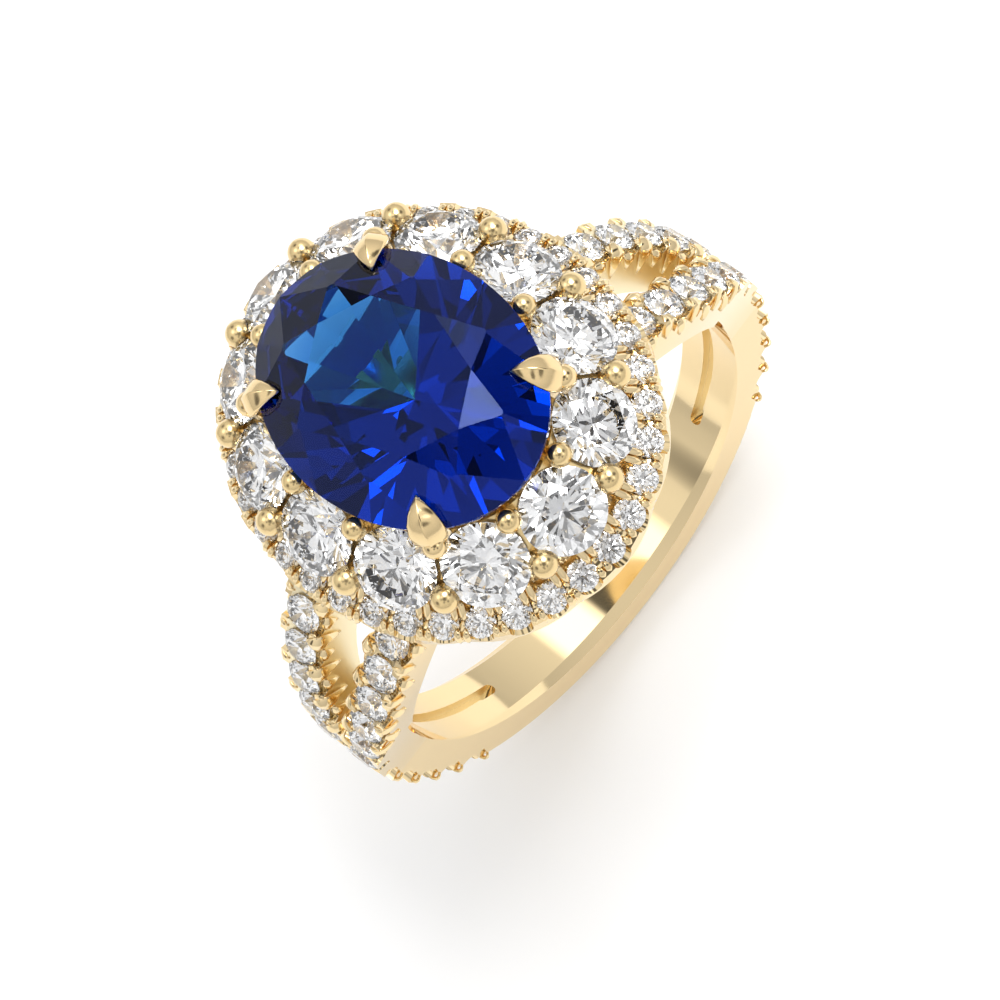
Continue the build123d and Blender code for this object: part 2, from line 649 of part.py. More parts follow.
# Names and files ----------------------------------------------------------------------------
band.part.label = "band"
shoulder_right_near.part.label = "shoulder_right_near"
shoulder_right_far.part.label = "shoulder_right_far"
shoulder_left_near.part.label = "shoulder_left_near"
shoulder_left_far.part.label = "shoulder_left_far"
bridge.part.label = "bridge"
gallery.part.label = "gallery"
seat_rail.part.label = "seat_rail"
halo_plate.part.label = "halo_plate"
outer_rail.part.label = "outer_rail"
oval_sapphire.part.label = "oval_sapphire"
rail_diamonds.part.label = "rail_diamonds"
right_near_diamonds.part.label = "shoulder_diamonds_right_near"
right_far_diamonds.part.label = "shoulder_diamonds_right_far"
left_near_diamonds.part.label = "shoulder_diamonds_left_near"
left_far_diamonds.part.label = "shoulder_diamonds_left_far"
right_band_diamonds.part.label = "band_diamonds_right"
left_band_diamonds.part.label = "band_diamonds_left"
for number, claw in enumerate(claws, start=1):
    claw.part.label = f"claw_{number}"
for number, diamond in enumerate(halo_diamonds, start=1):
    diamond.part.label = f"halo_diamond_{number:02d}"

pieces = [
    band,
    shoulder_right_near,
    shoulder_right_far,
    shoulder_left_near,
    shoulder_left_far,
    bridge,
    gallery,
    seat_rail,
    *claws,
    halo_plate,
    outer_rail,
    oval_sapphire,
    *halo_diamonds,
    rail_diamonds,
    right_near_diamonds,
    right_far_diamonds,
    left_near_diamonds,
    left_far_diamonds,
    right_band_diamonds,
    left_band_diamonds,
]
os.makedirs("parts", exist_ok=True)
for piece in pieces:
    export_step(piece.part, f"parts/{piece.part.label}.step")
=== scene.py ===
import math
from bisect import bisect_right

import bpy
from mathutils import Matrix, Vector


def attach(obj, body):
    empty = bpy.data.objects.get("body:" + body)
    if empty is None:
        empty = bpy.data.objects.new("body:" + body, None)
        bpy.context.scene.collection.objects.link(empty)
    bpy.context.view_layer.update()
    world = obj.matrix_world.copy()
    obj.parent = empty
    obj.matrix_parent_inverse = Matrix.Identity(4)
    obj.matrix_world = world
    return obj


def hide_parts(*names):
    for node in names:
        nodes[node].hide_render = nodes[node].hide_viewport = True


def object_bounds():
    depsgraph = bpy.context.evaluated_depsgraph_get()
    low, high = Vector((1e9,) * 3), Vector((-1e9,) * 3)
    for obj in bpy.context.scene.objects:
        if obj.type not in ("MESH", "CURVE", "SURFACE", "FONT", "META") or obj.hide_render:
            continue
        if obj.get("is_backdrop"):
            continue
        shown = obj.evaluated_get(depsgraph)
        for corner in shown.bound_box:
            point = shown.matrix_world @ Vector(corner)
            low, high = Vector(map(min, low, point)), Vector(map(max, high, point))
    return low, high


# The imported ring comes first: origin at the middle of the finger hole, +Z up through the head.
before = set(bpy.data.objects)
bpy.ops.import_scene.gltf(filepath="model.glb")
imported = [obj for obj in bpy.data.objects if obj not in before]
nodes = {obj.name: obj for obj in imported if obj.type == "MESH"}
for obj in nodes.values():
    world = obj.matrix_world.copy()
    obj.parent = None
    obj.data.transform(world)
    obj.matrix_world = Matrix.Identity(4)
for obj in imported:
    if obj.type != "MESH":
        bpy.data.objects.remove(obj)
cad_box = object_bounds()
scene = bpy.context.scene

# Lengths on the ring are written in millimetres, and those of the studio round it in metres
MM = 0.001
SIDES = ((1, "right"), (-1, "left"))
HANDS = ((-1, "near"), (1, "far"))

# ---- Camera: a high three-quarter view, rolled so that the band runs from lower left to
# ---- upper right
CAMERA_AIM = Vector((-0.74, -1.79, 8.0)) * MM
CAMERA_DISTANCE = 111.0 * MM
CAMERA_AZIMUTH = math.radians(-3.03)
CAMERA_ELEVATION = math.radians(67.32)
CAMERA_ROLL = math.radians(-49.81)
CAMERA_LENS = 127.8
CAMERA_SENSOR = 36
CAMERA_CLIP = (0.001, 20)

back = Vector(
    (
        math.cos(CAMERA_ELEVATION) * math.sin(CAMERA_AZIMUTH),
        -math.cos(CAMERA_ELEVATION) * math.cos(CAMERA_AZIMUTH),
        math.sin(CAMERA_ELEVATION),
    )
)
level = Vector((math.cos(CAMERA_AZIMUTH), math.sin(CAMERA_AZIMUTH), 0))
tilt = back.cross(level)
right = level * math.cos(CAMERA_ROLL) + tilt * math.sin(CAMERA_ROLL)
up = back.cross(right)
camera_data = bpy.data.cameras.new("camera")
camera_data.lens = CAMERA_LENS
camera_data.sensor_width = CAMERA_SENSOR
camera_data.clip_start, camera_data.clip_end = CAMERA_CLIP
camera = bpy.data.objects.new("camera", camera_data)
scene.collection.objects.link(camera)
turn = Matrix((right, up, back)).transposed().to_4x4()
camera.matrix_world = Matrix.Translation(CAMERA_AIM + back * CAMERA_DISTANCE) @ turn
scene.camera = camera


# ---- Material helpers
def new_material(name):
    material = bpy.data.materials.new(name)
    material.use_nodes = True
    tree = material.node_tree
    return material, tree, tree.nodes["Principled BSDF"]


def add_node(tree, kind, **values):
    node = tree.nodes.new(kind)
    for key, value in values.items():
        node.inputs[key].default_value = value
    return node


def ramp(tree, stops):
    """A colour ramp; each stop is a place from 0 to 1 and a colour."""
    node = tree.nodes.new("ShaderNodeValToRGB")
    points = node.color_ramp.elements
    while len(points) < len(stops):
        points.new(0.5)
    for point, (place, colour) in zip(points, stops):
        point.position = place
        point.color = (*colour, 1)
    return node


def object_noise(tree, scale, detail):
    """Noise that stays with the object, from 0 to 1."""
    place = tree.nodes.new("ShaderNodeTexCoord")
    noise = add_node(tree, "ShaderNodeTexNoise", Scale=scale, Detail=detail)
    tree.links.new(place.outputs["Object"], noise.inputs["Vector"])
    return noise.outputs["Fac"]


def separate(tree, vector):
    node = tree.nodes.new("ShaderNodeSeparateXYZ")
    tree.links.new(vector, node.inputs["Vector"])
    return node


def mix(tree, kind, mask, first, second):
    """Blend a socket towards a constant by a mask; kind is RGBA for colours, FLOAT for numbers."""
    node = tree.nodes.new("ShaderNodeMix")
    node.data_type = kind
    node.inputs["B"].default_value = second
    tree.links.new(mask, node.inputs["Factor"])
    tree.links.new(first, node.inputs["A"])
    return node.outputs["Result"]


def maths(tree, kind, operation, first, second):
    """A maths node; each input is a socket or a constant."""
    node = tree.nodes.new(kind)
    node.operation = operation
    for slot, value in enumerate((first, second)):
        if isinstance(value, bpy.types.NodeSocket):
            tree.links.new(value, node.inputs[slot])
        else:
            node.inputs[slot].default_value = value
    return node


def number_maths(tree, operation, first, second):
    return maths(tree, "ShaderNodeMath", operation, first, second).outputs["Value"]


def vector_maths(tree, operation, first, second, output="Vector"):
    return maths(tree, "ShaderNodeVectorMath", operation, first, second).outputs[output]


# ---- Masks that pick out faces by where they are and which way they look
# The cup under the sapphire: half width, half length and top of the space, and a point in it
CUP_HALF_X = 4.6 * MM
CUP_HALF_Y = 5.6 * MM
CUP_TOP = 13.8 * MM
CUP_FOCUS = (0, 0, 11.0 * MM)
# A face counts as a side of the gap between the arms when its Y times its normal's Y is under this
GAP_FACING = -0.10 * MM


def inside_cup(tree):
    """1 on faces that look into the space under the sapphire, 0 on all others."""
    surface = tree.nodes.new("ShaderNodeNewGeometry")
    spot = surface.outputs["Position"]
    inward = vector_maths(tree, "SUBTRACT", CUP_FOCUS, spot)
    facing = vector_maths(tree, "DOT_PRODUCT", inward, surface.outputs["Normal"], "Value")
    share = vector_maths(tree, "MULTIPLY", spot, (1 / CUP_HALF_X, 1 / CUP_HALF_Y, 0))
    reach = vector_maths(tree, "LENGTH", share, (0, 0, 0), "Value")
    looks_in = number_maths(tree, "GREATER_THAN", facing, 0)
    in_oval = number_maths(tree, "LESS_THAN", reach, 1)
    below_top = number_maths(tree, "LESS_THAN", separate(tree, spot).outputs["Z"], CUP_TOP)
    both = number_maths(tree, "MULTIPLY", looks_in, in_oval)
    return number_maths(tree, "MULTIPLY", both, below_top)


def facing_gap(tree):
    """1 on faces off the middle plane that look back towards it, as the gap's sides do; paler gold
    is painted there as light.
    """
    surface = tree.nodes.new("ShaderNodeNewGeometry")
    spot = separate(tree, surface.outputs["Position"])
    normal = separate(tree, surface.outputs["Normal"])
    product = number_maths(tree, "MULTIPLY", spot.outputs["Y"], normal.outputs["Y"])
    return number_maths(tree, "LESS_THAN", product, GAP_FACING)


# ---- Gold: a noise makes its colour and its gloss a little uneven
GOLD_NOISE_SCALE = 260.0
GOLD_NOISE_DETAIL = 3.0
GOLD_DIMMEST = 0.97
GLOSS_RANGE = (0.7, 1.4)
GOLD = (0.90, 0.71, 0.41)
CLAW_GOLD = (0.88, 0.67, 0.36)
# Painted shade: a darker copy of the gold for the halo plate and its beads, standing in for the
# darker surroundings they reflect
SHADED_GOLD = (0.84, 0.64, 0.33)
# Painted light: a paler copy of the gold for the sides of the gap between the arms, where the
# narrow slot renders dark
PAINTED_LIGHT_GOLD = (0.97, 0.85, 0.58)
RHODIUM = (0.90, 0.92, 0.95)
POLISHED = 0.07
CLAW_POLISH = 0.15
BEAD_POLISH = 0.20
# Masked faces, the cup's rhodium lining and the painted light on the gap's sides: the mask of the
# faces, their colour and their roughness
CUP_LINING = (inside_cup, RHODIUM, 0.5)
# Painted light on the gap's sides: paler, rougher gold on the faces that look back across the gap
GAP_PAINTED_LIGHT = (facing_gap, PAINTED_LIGHT_GOLD, 0.35)


def gold_material(name, base, rough, lining_or_painted_light=None):
    material, tree, shader = new_material(name)
    shader.inputs["Metallic"].default_value = 1
    cloud = object_noise(tree, GOLD_NOISE_SCALE, GOLD_NOISE_DETAIL)
    tint = ramp(tree, [(0.3, tuple(c * GOLD_DIMMEST for c in base)), (0.7, base)])
    sheen = tree.nodes.new("ShaderNodeMapRange")
    sheen.inputs["To Min"].default_value = rough * GLOSS_RANGE[0]
    sheen.inputs["To Max"].default_value = rough * GLOSS_RANGE[1]
    tree.links.new(cloud, tint.inputs["Fac"])
    tree.links.new(cloud, sheen.inputs["Value"])
    colour = tint.outputs["Color"]
    roughness = sheen.outputs["Result"]
    # A masked patch is either the cup's real rhodium lining or the painted light on the gap's
    # sides
    if lining_or_painted_light:
        find_mask, painted_or_lining_colour, painted_or_lining_roughness = lining_or_painted_light
        mask = find_mask(tree)
        colour = mix(tree, "RGBA", mask, colour, (*painted_or_lining_colour, 1))
        roughness = mix(tree, "FLOAT", mask, roughness, painted_or_lining_roughness)
    tree.links.new(colour, shader.inputs["Base Color"])
    tree.links.new(roughness, shader.inputs["Roughness"])
    return material


polished_gold = gold_material("polished_gold", GOLD, POLISHED)
lined_gold = gold_material("lined_gold", GOLD, POLISHED, CUP_LINING)
# Painted shade: the halo plate's darker gold
shaded_bead_gold = gold_material("shaded_bead_gold", SHADED_GOLD, BEAD_POLISH, CUP_LINING)
claw_gold = gold_material("claw_gold", CLAW_GOLD, CLAW_POLISH)
# Painted light: the band and shoulders get paler gold on the sides of the gap between the arms
forked_gold_painted_light = gold_material("forked_gold_painted_light", GOLD, POLISHED, GAP_PAINTED_LIGHT)

# ---- Stones
GEM_NOISE_SCALE = 180.0
GEM_NOISE_DETAIL = 2.0
SAPPHIRE_TINTS = ((0.45, 0.62, 0.95), (0.5, 0.68, 1.0))
SAPPHIRE_IOR = 1.77
SAPPHIRE_BODY = (0.05, 0.59, 0.83, 1)
SAPPHIRE_DENSITY = 1000.0
SAPPHIRE_SHEEN = (0.16, 0.22, 0.50, 1)
DIAMOND_TINTS = ((0.96, 0.97, 0.98), (1, 1, 1))
DIAMOND_IOR = 2.42


def gem_material(name, tints, ior):
    """Clear faceted stone, very slightly uneven in tint."""
    material, tree, shader = new_material(name)
    shader.inputs["Roughness"].default_value = 0
    shader.inputs["IOR"].default_value = ior
    shader.inputs["Transmission Weight"].default_value = 1
    zone = object_noise(tree, GEM_NOISE_SCALE, GEM_NOISE_DETAIL)
    tint = ramp(tree, [(0.35, tints[0]), (0.65, tints[1])])
    tree.links.new(zone, tint.inputs["Fac"])
    tree.links.new(tint.outputs["Color"], shader.inputs["Base Color"])
    return material


def sapphire_material():
    """A stone whose body soaks up red and some green; its surface reflects dimly and blue."""
    material = gem_material("sapphire", SAPPHIRE_TINTS, SAPPHIRE_IOR)
    tree = material.node_tree
    body = add_node(
        tree, "ShaderNodeVolumeAbsorption", Color=SAPPHIRE_BODY, Density=SAPPHIRE_DENSITY
    )
    tree.links.new(body.outputs["Volume"], tree.nodes["Material Output"].inputs["Volume"])
    tree.nodes["Principled BSDF"].inputs["Specular Tint"].default_value = SAPPHIRE_SHEEN
    return material


sapphire = sapphire_material()
diamond = gem_material("diamond", DIAMOND_TINTS, DIAMOND_IOR)


def dress(node, material):
    node.data.materials.clear()
    node.data.materials.append(material)


for name, node in nodes.items():
    if "diamond" in name:
        dress(node, diamond)
    elif name == "oval_sapphire":
        dress(node, sapphire)
    elif name in ("gallery", "seat_rail", "bridge"):
        dress(node, lined_gold)
    # The halo plate wears the darker gold of painted shade
    elif name == "halo_plate":
        dress(node, shaded_bead_gold)
    # Band and shoulders: gold with painted light on the sides of the gap between the arms
    elif name == "band" or "shoulder" in name:
        dress(node, forked_gold_painted_light)
    else:
        dress(node, polished_gold)


# ---- Mesh helpers
class Builder:
    """Collects vertices and faces in millimetres for one piece."""

    def __init__(self):
        self.points = []
        self.faces = []

    def add(self, points, faces):
        start = len(self.points)
        self.points += [Vector(point) for point in points]
        self.faces += [[start + index for index in face] for face in faces]

    def piece(self, name, material, smooth, replaces=()):
        mesh = bpy.data.meshes.new(name)
        mesh.from_pydata([tuple(p * MM) for p in self.points], [], self.faces)
        mesh.validate()
        mesh.update()
        for polygon in mesh.polygons:
            polygon.use_smooth = smooth
        mesh.materials.append(material)
        made = bpy.data.objects.new(name, mesh)
        scene.collection.objects.link(made)
        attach(made, "root")
        for node in replaces:
            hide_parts(node)


def circle(radius, height, count, start):
    """Points round the Z axis, counted from a start angle in degrees."""
    angles = [math.radians(start + 360 * item / count) for item in range(count)]
    return [Vector((radius * math.cos(a), radius * math.sin(a), height)) for a in angles]


def skin(rings):
    """Points and faces of a closed skin over rings that all have the same count."""
    count = len(rings[0])
    points = [point for ring in rings for point in ring]
    faces = []
    for row in range(len(rings) - 1):
        for item in range(count):
            after = (item + 1) % count
            a, b = row * count, (row + 1) * count
            faces.append([a + item, a + after, b + after, b + item])
    faces.append(list(range(count))[::-1])
    faces.append([(len(rings) - 1) * count + item for item in range(count)])
    return points, faces


BALL_ROWS = 16
BALL_COLUMNS = 24


def ball(centre, radius):
    """Points and faces of a round bead with a tiny flat at either pole."""
    rings = []
    for row in range(1, BALL_ROWS):
        rise = math.pi * (row / BALL_ROWS - 0.5)
        ring = circle(math.cos(rise), math.sin(rise), BALL_COLUMNS, 0)
        rings.append([centre + radius * point for point in ring])
    return skin(rings)


# Angles round a ridged section, closest together beside the ridge so that it stays crisp
RIDGE_ANGLES = (0, 25, 50, 70, 85, 90, 95, 110, 130, 155, 180, 210, 240, 270, 300, 330)
RIDGE_ROUNDNESS = 0.30


def ridge_profile(half_width, top, bottom):
    """A section with two nearly flat faces that meet in a ridge: (across, up) pairs."""
    pairs = []
    for degrees in RIDGE_ANGLES:
        angle = math.radians(degrees)
        lift = math.sin(angle)
        if lift >= 0:
            flank = 1 - abs(math.cos(angle))
            height = top * (RIDGE_ROUNDNESS * lift + (1 - RIDGE_ROUNDNESS) * flank)
        else:
            height = bottom * lift
        pairs.append((half_width * math.cos(angle), height))
    return pairs


def ridged_rod(builder, path, across, sizes):
    """A rod along a path: across is its sideways direction, sizes are half width, top, bottom."""
    rings = []
    for index, (spot, (half_width, top, bottom)) in enumerate(zip(path, sizes)):
        before = path[max(index - 1, 0)]
        after = path[min(index + 1, len(path) - 1)]
        ahead = (after - before).normalized()
        lift = across.cross(ahead).normalized()
        ring = [
            spot + across * x + lift * z for x, z in ridge_profile(half_width, top, bottom)
        ]
        rings.append(ring)
    builder.add(*skin(rings))


# ---- Where the stones sit, by the same rules as the metal under them.
# ---- A spot is an origin and three directions: along the row, across it, out of the metal.
BAND_RADIUS = 10.25
ARM_SPREAD = 1.72
ARM_SPREAD_START = -9.0
ARM_SPREAD_FULL = 50.0
ARM_HALF_WIDTH = 0.77
RAIL_COUNT = 36
RAIL_START = 0.25
RAIL_HALF_X = 6.12
RAIL_HALF_Y = 7.08
RAIL_Z = 11.75
RAIL_TILT = math.radians(25.0)
ELLIPSE_STEPS = 720


def ellipse_points(half_x, half_y, count, start):
    """Points an equal distance apart round an ellipse, counted from a fraction of a turn."""
    around = [2 * math.pi * i / ELLIPSE_STEPS for i in range(ELLIPSE_STEPS + 1)]
    lengths = [0.0]
    for a, b in zip(around, around[1:]):
        step = math.hypot(
            half_x * (math.cos(b) - math.cos(a)), half_y * (math.sin(b) - math.sin(a))
        )
        lengths.append(lengths[-1] + step)
    found = []
    for item in range(count):
        goal = lengths[-1] * ((start + item / count) % 1)
        index = bisect_right(lengths, goal) - 1
        share = (goal - lengths[index]) / (lengths[index + 1] - lengths[index])
        angle = around[index] + share * (around[index + 1] - around[index])
        found.append((half_x * math.cos(angle), half_y * math.sin(angle)))
    return found


def rail_spots(start):
    """Spots round the outer rail, which leans outward; across is down its slope."""
    spots = []
    for x, y in ellipse_points(RAIL_HALF_X, RAIL_HALF_Y, RAIL_COUNT, start):
        out = Vector((x / RAIL_HALF_X**2, y / RAIL_HALF_Y**2, 0)).normalized()
        normal = out * math.sin(RAIL_TILT) + Vector((0, 0, math.cos(RAIL_TILT)))
        along = Vector((-out.y, out.x, 0))
        spots.append((Vector((x, y, RAIL_Z)), along, along.cross(normal), normal))
    return spots


def arm_offset(angle):
    """How far an arm's middle line stands from the band's middle plane."""
    share = (angle - ARM_SPREAD_START) / (ARM_SPREAD_FULL - ARM_SPREAD_START)
    return ARM_SPREAD * math.sin(math.radians(90 * min(share, 1)))


def band_spot(angle, offset, slant, side):
    """A spot on the band; slant is the row's drift along Y, side is -1 left and 1 right."""
    rise = math.radians(angle)
    out = Vector((side * math.cos(rise), 0, math.sin(rise)))
    along = Vector((-side * math.sin(rise), slant, math.cos(rise))).normalized()
    return out * BAND_RADIUS + Vector((0, offset, 0)), along, along.cross(out), out


def arm_spot(angle, hand, side):
    """A spot on a shoulder arm: hand is -1 near and 1 far, side is -1 left and 1 right."""
    drift = arm_offset(angle + 1) - arm_offset(angle - 1)
    slant = hand * drift / (2 * BAND_RADIUS * math.radians(1))
    return band_spot(angle, hand * arm_offset(angle), slant, side)


# ---- Round brilliants: 57 facets and the girdle's sides, radius 1, girdle at the origin
TABLE = 0.56
STAR_RADIUS = 0.80
LOW_RADIUS = 0.24
GIRDLE = 0.022
CROWN_SLOPE = math.tan(math.radians(34.5))
PAVILION_SLOPE = math.tan(math.radians(40.8))


def brilliant():
    half = math.cos(math.radians(22.5))
    points = circle(TABLE, GIRDLE + (1 - TABLE) * CROWN_SLOPE, 8, 0)
    points += circle(STAR_RADIUS, GIRDLE + (1 - STAR_RADIUS * half) * CROWN_SLOPE, 8, 22.5)
    points += circle(1, GIRDLE, 16, 0)
    points += circle(1, -GIRDLE, 16, 0)
    points += circle(LOW_RADIUS, -GIRDLE - (1 - LOW_RADIUS * half) * PAVILION_SLOPE, 8, 22.5)
    points.append(Vector((0, 0, -GIRDLE - PAVILION_SLOPE)))
    # Where each ring of points starts in the list
    table, star, top, base, low, culet = 0, 8, 16, 32, 48, 56
    faces = [[table + i for i in range(8)]]
    for i in range(8):
        j = (i + 1) % 8
        before = (i - 1) % 8
        faces.append([table + i, star + before, top + 2 * i, star + i])
        faces.append([table + i, star + i, table + j])
        faces.append([star + i, top + 2 * i, top + 2 * i + 1])
        faces.append([star + i, top + 2 * i + 1, top + (2 * i + 2) % 16])
        faces.append([low + i, base + 2 * i + 1, base + 2 * i])
        faces.append([low + i, base + (2 * i + 2) % 16, base + 2 * i + 1])
        faces.append([culet, low + i, base + 2 * i, low + before])
    for i in range(16):
        j = (i + 1) % 16
        faces.append([top + i, base + i, base + j, top + j])
    return points, faces


GEM_POINTS, GEM_FACES = brilliant()


def cut_gems(node_name, spots, radius, sink):
    """Brilliants in place of the simple stones of a CAD node, each sunk by a depth at its spot."""
    gems = Builder()
    for origin, along, _, normal in spots:
        centre = origin - normal * sink
        across = normal.cross(along)
        points = [
            centre + (along * p.x + across * p.y + normal * p.z) * radius for p in GEM_POINTS
        ]
        gems.add(points, GEM_FACES)
    gems.piece(f"cut_{node_name}", diamond, False, [node_name])


PAVE_RADIUS = 0.70
PAVE_DEPTH = 0.14
RAIL_STONE_RADIUS = 0.50
PAVE_FIRST_ANGLE = 8.9
PAVE_PITCH = 8.55
PAVE_PER_ARM = 7
BAND_FIRST_ANGLE = -0.6
BAND_PITCH = 8.3
PAVE_PER_BAND_SIDE = 5
ARM_ANGLES = [PAVE_FIRST_ANGLE + PAVE_PITCH * step for step in range(PAVE_PER_ARM)]
BAND_ANGLES = [BAND_FIRST_ANGLE - BAND_PITCH * step for step in range(PAVE_PER_BAND_SIDE)]
for side, side_name in SIDES:
    for hand, hand_name in HANDS:
        arm_spots = [arm_spot(angle, hand, side) for angle in ARM_ANGLES]
        cut_gems(
            f"shoulder_diamonds_{side_name}_{hand_name}", arm_spots, PAVE_RADIUS, PAVE_DEPTH
        )
    band_spots = [band_spot(angle, 0, 0, side) for angle in BAND_ANGLES]
    cut_gems(f"band_diamonds_{side_name}", band_spots, PAVE_RADIUS, PAVE_DEPTH)
cut_gems("rail_diamonds", rail_spots(RAIL_START), RAIL_STONE_RADIUS, 0)

# ---- Shared prongs between the pave stones: a ridge over the stones that runs down the wall
# ---- as a fang.  Each station: across from the row, out from the band, half width, top
FANG = (
    (0.40, -0.02, 0.02, 0.03),
    (0.46, 0.03, 0.08, 0.06),
    (0.58, 0.05, 0.17, 0.08),
    (0.70, 0.02, 0.27, 0.10),
    (0.81, -0.07, 0.33, 0.12),
    (0.87, -0.22, 0.32, 0.12),
    (0.89, -0.42, 0.25, 0.10),
    (0.89, -0.64, 0.15, 0.07),
    (0.87, -0.90, 0.02, 0.03),
)
# The gold lip under each stone, which ends the cut beside it in a point
LIP = (
    (0.64, -0.30, 0.02, 0.02),
    (0.72, -0.31, 0.20, 0.05),
    (0.80, -0.36, 0.28, 0.08),
    (0.87, -0.48, 0.24, 0.09),
    (0.88, -0.64, 0.15, 0.07),
    (0.86, -0.86, 0.02, 0.03),
)
# Beyond this reach a prong is stretched or squeezed to its wall
PRONG_BEND = 0.5
PRONG_BOTTOM = 0.10
# Kinds of prong: stations, the wall's distance from the row, scale of the drop, scale of the rest
GAP_WALL_FANG = (FANG, ARM_HALF_WIDTH, 1.2, 1.0)
OUTSIDE_FANG = (FANG, ARM_HALF_WIDTH - 0.04, 0.8, 0.58)
ARM_LIP = (LIP, ARM_HALF_WIDTH, 1.0, 1.0)
BAND_FANG = (FANG, 1.12, 0.45, 0.32)
# Prongs on the outsides of the arms begin above this angle
OUTSIDE_START = 20
# Places beyond the first and last stones of the band, so that both ends of the row get prongs
BAND_ROW_START = 5.0
BAND_ROW_END = -43.0


def middles(angles):
    """The angles half way between each stone and the next."""
    return [(first + second) / 2 for first, second in zip(angles, angles[1:])]


def add_prong(builder, spot, wall, kind):
    """One prong; wall is 1 or -1, for the wall on either side of the row."""
    origin, along, side, out = spot
    stations, wall_distance, drop, scale = kind
    path = []
    sizes = []
    for reach, rise, half_width, top in stations:
        beyond = max(reach - PRONG_BEND, 0)
        stretch = beyond * (wall_distance - PRONG_BEND) / (ARM_HALF_WIDTH - PRONG_BEND)
        height = rise * scale if rise > 0 else rise * drop
        path.append(origin + side * wall * (min(reach, PRONG_BEND) + stretch) + out * height)
        sizes.append((half_width * scale, top * scale, PRONG_BOTTOM))
    ridged_rod(builder, path, along * -wall, sizes)


def arm_prongs(builder, side, angles, gap_wall_kind, outside_kind):
    """Prongs on both walls of both arms, with none on the outsides near the fork."""
    for angle in angles:
        for hand, _ in HANDS:
            for wall in (-1, 1):
                outside = wall * hand * side > 0
                if outside and angle < OUTSIDE_START:
                    continue
                kind = outside_kind if outside else gap_wall_kind
                add_prong(builder, arm_spot(angle, hand, side), wall, kind)


for side, side_name in SIDES:
    prongs = Builder()
    arm_prongs(prongs, side, middles(ARM_ANGLES), GAP_WALL_FANG, OUTSIDE_FANG)
    arm_prongs(prongs, side, ARM_ANGLES, ARM_LIP, ARM_LIP)
    for angle in middles([BAND_ROW_START, *BAND_ANGLES, BAND_ROW_END]):
        for wall in (-1, 1):
            add_prong(prongs, band_spot(angle, 0, 0, side), wall, BAND_FANG)
    prongs.piece(f"pave_prongs_{side_name}", polished_gold, True)

# ---- Prongs of the outer rail: a pair inside and a pair outside every gap.
# ---- Each station: reach from the row, height over it, half width
RAIL_OUTER_PRONG = (
    (0.10, 0.10, 0.03),
    (0.20, 0.17, 0.10),
    (0.34, 0.17, 0.112),
    (0.50, 0.06, 0.112),
    (0.56, -0.12, 0.07),
)
RAIL_INNER_PRONG = (
    (0.10, 0.10, 0.03),
    (0.22, 0.20, 0.10),
    (0.40, 0.26, 0.112),
    (0.60, 0.32, 0.112),
    (0.85, 0.38, 0.07),
)
RAIL_PRONG_SHIFT = 0.13
RAIL_PRONG_TOP = 0.06
RAIL_PRONG_BOTTOM = 0.16
prongs = Builder()
for origin, along, outward, normal in rail_spots(RAIL_START + 0.5 / RAIL_COUNT):
    for away, stations in ((outward, RAIL_OUTER_PRONG), (-outward, RAIL_INNER_PRONG)):
        for shift in (-RAIL_PRONG_SHIFT, RAIL_PRONG_SHIFT):
            start = origin + along * shift
            path = [start + away * reach + normal * height for reach, height, _ in stations]
            sizes = [(width, RAIL_PRONG_TOP, RAIL_PRONG_BOTTOM) for _, _, width in stations]
            ridged_rod(prongs, path, away.cross(normal), sizes)
prongs.piece("rail_prongs", polished_gold, True)

# ---- Claws: ridged teardrops folded over the sapphire's edge, with a round knuckle outside.
# ---- Each station: reach from the middle, height, half width, top, bottom
CLAW = (
    (3.60, 15.70, 0.02, 0.03, 0.03),
    (3.72, 15.71, 0.11, 0.10, 0.08),
    (3.92, 15.71, 0.25, 0.18, 0.14),
    (4.14, 15.65, 0.39, 0.25, 0.20),
    (4.38, 15.51, 0.51, 0.31, 0.26),
    (4.60, 15.28, 0.58, 0.33, 0.30),
    (4.77, 15.00, 0.56, 0.31, 0.32),
    (4.86, 14.75, 0.46, 0.28, 0.32),
    (4.90, 14.55, 0.38, 0.30, 0.30),
    (4.88, 14.30, 0.37, 0.34, 0.28),
    (4.76, 13.95, 0.36, 0.32, 0.26),
    (4.42, 13.40, 0.34, 0.28, 0.26),
    (3.90, 12.60, 0.30, 0.26, 0.24),
)
KNUCKLE_REACH = 4.94
KNUCKLE_HEIGHT = 14.70
KNUCKLE_RADIUS = 0.40
CLAW_DIRECTION = Vector((2.28, 2.80, 0)).normalized()
CLAW_CORNERS = ((1, 1), (1, -1), (-1, -1), (-1, 1))
for number, (sign_x, sign_y) in enumerate(CLAW_CORNERS, start=1):
    out = Vector((CLAW_DIRECTION.x * sign_x, CLAW_DIRECTION.y * sign_y, 0))
    across = Vector((0, 0, 1)).cross(out)
    claw = Builder()
    path = [out * reach + Vector((0, 0, height)) for reach, height, _, _, _ in CLAW]
    ridged_rod(claw, path, -across, [sizes for _, _, *sizes in CLAW])
    claw.add(*ball(out * KNUCKLE_REACH + Vector((0, 0, KNUCKLE_HEIGHT)), KNUCKLE_RADIUS))
    claw.piece(f"ridged_claw_{number}", claw_gold, True, [f"claw_{number}"])

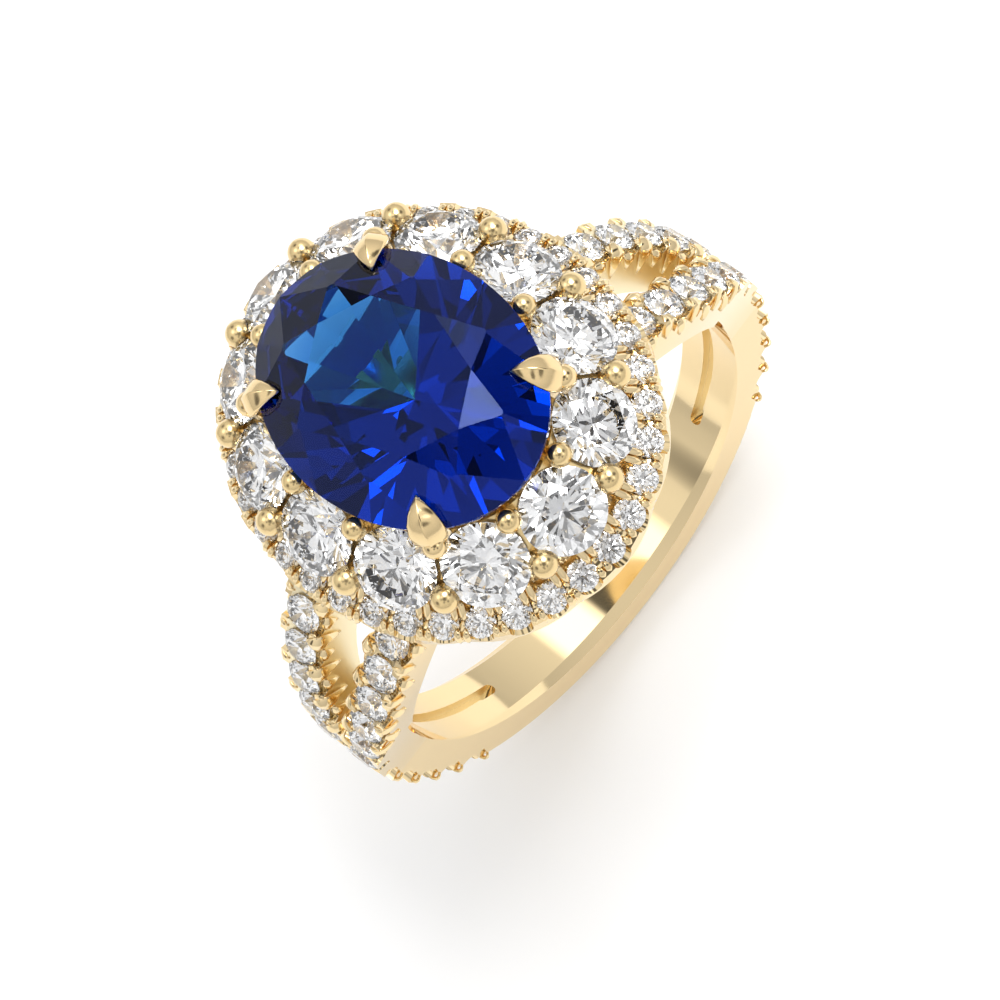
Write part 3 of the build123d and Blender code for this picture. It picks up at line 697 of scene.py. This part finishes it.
# ---- Floor
FLOOR_SIZE = 1.2
FLOOR_COLOUR = (0.88, 0.88, 0.88, 1)
FLOOR_ROUGHNESS = 0.6
FLOOR_GLOW = 0.16
bpy.ops.mesh.primitive_plane_add(size=FLOOR_SIZE, location=(0, 0, cad_box[0][2]))
floor = bpy.context.object
floor.name = "floor"
floor_white, _, shader = new_material("floor_white")
shader.inputs["Base Color"].default_value = FLOOR_COLOUR
shader.inputs["Roughness"].default_value = FLOOR_ROUGHNESS
shader.inputs["Emission Color"].default_value = (1, 1, 1, 1)
shader.inputs["Emission Strength"].default_value = FLOOR_GLOW
dress(floor, floor_white)
floor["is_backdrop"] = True

# ---- Studio: a soft dome, and cards for the stones and the gold to reflect
# Each stop of the dome: height from 0 straight down to 1 straight up, and its colour
DOME = (
    (0.0, (0.95, 0.95, 0.95)),
    (0.50, (0.62, 0.62, 0.63)),
    (0.66, (0.80, 0.80, 0.81)),
    (0.85, (0.98, 0.98, 0.98)),
)
# Each card: direction, inner and outer half angle in degrees, brightness
CARDS = (
    ((-0.02, -0.385, 0.923), 12, 19, 0.14),
    ((0.75, -0.35, 0.55), 10, 16, 0.10),
    ((-0.80, 0.15, 0.45), 9, 15, 0.15),
    ((0.10, 0.85, 0.50), 8, 14, 0.15),
    ((-0.30, 0.45, 0.85), 8, 14, 2.2),
    ((0.55, 0.30, 0.80), 9, 15, 2.4),
    ((0.20, 0.28, 0.94), 7, 9, 0.12),
    ((-0.36, -0.10, 0.92), 6, 8, 0.15),
    ((0.34, -0.12, 0.93), 4, 5, 2.4),
    ((-0.12, 0.06, 0.99), 4, 5, 2.0),
    ((-0.40, -0.55, 0.73), 6, 8, 0.12),
    ((0.40, -0.60, 0.70), 5, 6, 2.2),
    ((0.02, -0.80, 0.60), 7, 9, 0.15),
)
world = bpy.data.worlds.new("studio")
scene.world = world
world.use_nodes = True
tree = world.node_tree
sky = tree.nodes.new("ShaderNodeTexCoord").outputs["Generated"]
height = tree.nodes.new("ShaderNodeMapRange")
height.inputs["From Min"].default_value = -1
dome = ramp(tree, DOME)
tree.links.new(separate(tree, sky).outputs["Z"], height.inputs["Value"])
tree.links.new(height.outputs["Result"], dome.inputs["Fac"])
shade = dome.outputs["Color"]
for direction, inner, outer, brightness in CARDS:
    towards = Vector(direction).normalized()
    edge = tree.nodes.new("ShaderNodeMapRange")
    edge.inputs["From Min"].default_value = math.cos(math.radians(outer))
    edge.inputs["From Max"].default_value = math.cos(math.radians(inner))
    tree.links.new(
        vector_maths(tree, "DOT_PRODUCT", sky, towards, "Value"), edge.inputs["Value"]
    )
    card_colour = (brightness, brightness, brightness, 1)
    shade = mix(tree, "RGBA", edge.outputs["Result"], shade, card_colour)
tree.links.new(shade, tree.nodes["Background"].inputs["Color"])

# ---- Key light
KEY_SPOT = Vector((0.115, 0.0, 0.26))
KEY_SIZE = 0.12
KEY_POWER = 0.34
key_data = bpy.data.lights.new("key", "AREA")
key_data.size = KEY_SIZE
key_data.energy = KEY_POWER
key = bpy.data.objects.new("key", key_data)
scene.collection.objects.link(key)
key.location = KEY_SPOT
key.rotation_euler = (Vector((0, 0, 0)) - KEY_SPOT).to_track_quat("-Z", "Y").to_euler()

scene.view_settings.view_transform = "Standard"
scene.view_settings.look = "None"
# Light paths long enough to cross the stones
scene.cycles.max_bounces = 24
scene.cycles.transmission_bounces = 24
scene.cycles.glossy_bounces = 8
scene.cycles.diffuse_bounces = 4
scene.cycles.transparent_max_bounces = 8

sizes = {"cad": [list(c) for c in cad_box], "visual": [list(c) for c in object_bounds()]}
